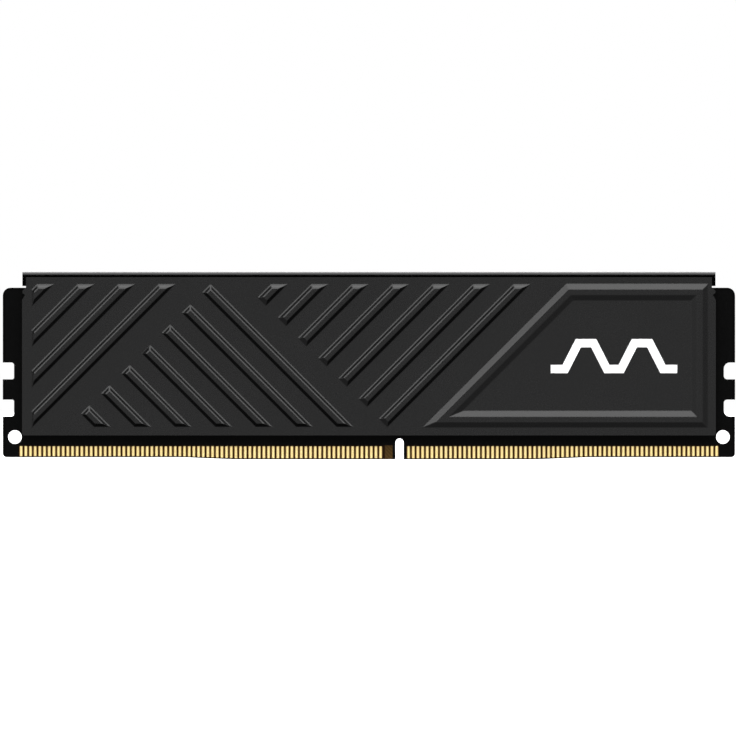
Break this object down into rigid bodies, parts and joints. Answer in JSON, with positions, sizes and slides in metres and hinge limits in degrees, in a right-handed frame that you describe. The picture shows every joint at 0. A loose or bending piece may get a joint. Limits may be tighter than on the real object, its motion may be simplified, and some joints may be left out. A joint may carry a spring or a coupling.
{
  "type": "desktop memory module",
  "caption": "Desktop memory module with gold edge contacts and a two-piece black heat spreader pressed with diagonal ribs and a raised panel frame.",
  "frame": {"origin": "middle of the contact edge that goes into the socket, at mid-length and mid-thickness of the board", "axes": "+X along the board to the right seen from the front, +Y from the front face to the back, +Z from the contact edge to the top"},
  "size_m": [0.1334, 0.0068, 0.0341],
  "materials": {
    "solder_mask": "semi-gloss",
    "gold_contact": "polished",
    "spreader_paint": "satin",
    "mould_compound": "matte",
    "thermal_tape": "matte",
    "emblem_ink": "matte",
    "chip_resistor": "gloss",
    "ceramic_capacitor": "satin",
    "solder": "satin",
    "laminate": "satin"
  },
  "bodies": {
    "root": {"back_spreader_plate": "spreader_paint", "back_thermal_tape": "thermal_tape", "bulk_capacitor_back_1": "ceramic_capacitor", "bulk_capacitor_back_2": "ceramic_capacitor", "bulk_capacitor_back_3": "ceramic_capacitor", "bulk_capacitor_back_4": "ceramic_capacitor", "bulk_capacitor_front_1": "ceramic_capacitor", "bulk_capacitor_front_2": "ceramic_capacitor", "bulk_capacitor_front_3": "ceramic_capacitor", "bulk_capacitor_front_4": "ceramic_capacitor", "bulk_capacitor_front_5": "ceramic_capacitor", "bulk_capacitor_front_6": "ceramic_capacitor", "circuit_board": "solder_mask", "contacts_back_left": "gold_contact", "contacts_back_right": "gold_contact", "contacts_front_left": "gold_contact", "contacts_front_right": "gold_contact", "front_spreader_plate": "spreader_paint", "front_thermal_tape": "thermal_tape", "memory_chip_back_1": "mould_compound", "memory_chip_back_2": "mould_compound", "memory_chip_back_3": "mould_compound", "memory_chip_back_4": "mould_compound", "memory_chip_back_5": "mould_compound", "memory_chip_back_6": "mould_compound", "memory_chip_back_7": "mould_compound", "memory_chip_back_8": "mould_compound", "memory_chip_front_1": "mould_compound", "memory_chip_front_2": "mould_compound", "memory_chip_front_3": "mould_compound", "memory_chip_front_4": "mould_compound", "memory_chip_front_5": "mould_compound", "memory_chip_front_6": "mould_compound", "memory_chip_front_7": "mould_compound", "memory_chip_front_8": "mould_compound", "panel_emblem": "emblem_ink", "series_resistor_array_01": "chip_resistor", "series_resistor_array_02": "chip_resistor", "series_resistor_array_03": "chip_resistor", "series_resistor_array_04": "chip_resistor", "series_resistor_array_05": "chip_resistor", "series_resistor_array_06": "chip_resistor", "series_resistor_array_07": "chip_resistor", "series_resistor_array_08": "chip_resistor", "series_resistor_array_09": "chip_resistor", "series_resistor_array_10": "chip_resistor", "series_resistor_array_11": "chip_resistor", "series_resistor_array_12": "chip_resistor", "series_resistor_array_13": "chip_resistor", "series_resistor_array_14": "chip_resistor", "series_resistor_array_15": "chip_resistor", "series_resistor_array_16": "chip_resistor", "spd_eeprom": "mould_compound", "termination_array_1": "chip_resistor", "termination_array_2": "chip_resistor", "termination_array_3": "chip_resistor", "termination_array_4": "chip_resistor", "termination_array_5": "chip_resistor"}
  },
  "joints": []
}
